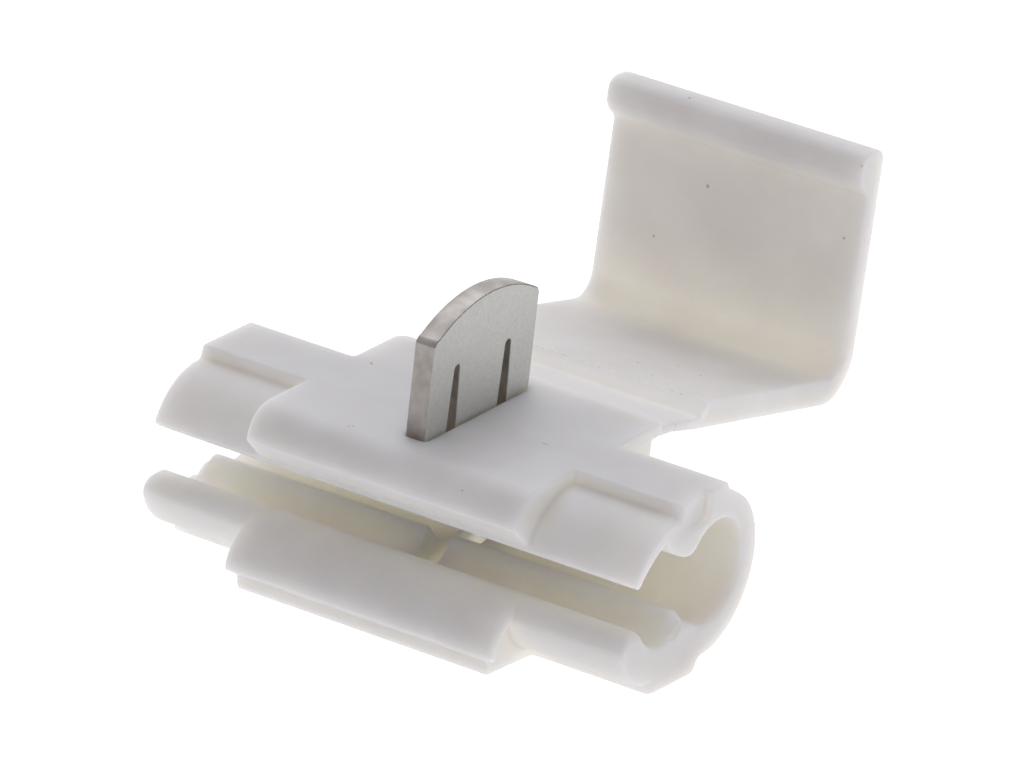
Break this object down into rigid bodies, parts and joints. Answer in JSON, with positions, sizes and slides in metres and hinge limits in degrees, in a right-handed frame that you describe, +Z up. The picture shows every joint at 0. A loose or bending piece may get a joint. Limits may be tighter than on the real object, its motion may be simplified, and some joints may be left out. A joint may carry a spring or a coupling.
{
  "type": "wire connector",
  "caption": "Wire splice connector moulding with side-by-side wire channels, a raised slotted contact plate and a locking cover swung open on a thin film hinge.",
  "frame": {"origin": "on the axis of the rear wire channel, halfway along the body", "axes": "+X along the wires, +Y back towards the open cover's leg, +Z up, as the part lies tipped back on a table"},
  "size_m": [0.025, 0.0338, 0.0143],
  "materials": {
    "natural_plastic": "natural white moulded plastic, slightly translucent, soft satin surface",
    "plated_metal": "dull grey tin plating over copper alloy, bare sheared edges a little browner"
  },
  "bodies": {
    "housing": {"body": "natural_plastic"},
    "lid": {"cover": "natural_plastic"},
    "plate": {"contact": "plated_metal"}
  },
  "joints": [
    {"name": "cover_hinge", "type": "hinge", "parent": "housing", "child": "lid", "pos_m": [0, 0.00629, 0.00289], "axis": [1, 0, 0], "range_deg": [0, 190], "stiffness_Nm_per_rad": 0.02},
    {"name": "contact_press", "type": "slide", "parent": "housing", "child": "plate", "axis": [0, -0.2325, -0.9726], "range_m": [0, 0.00575]}
  ],
  "couplings": [
    {"joint": "cover_hinge", "follows": "contact_press", "rad_per_m": 576.71}
  ]
}
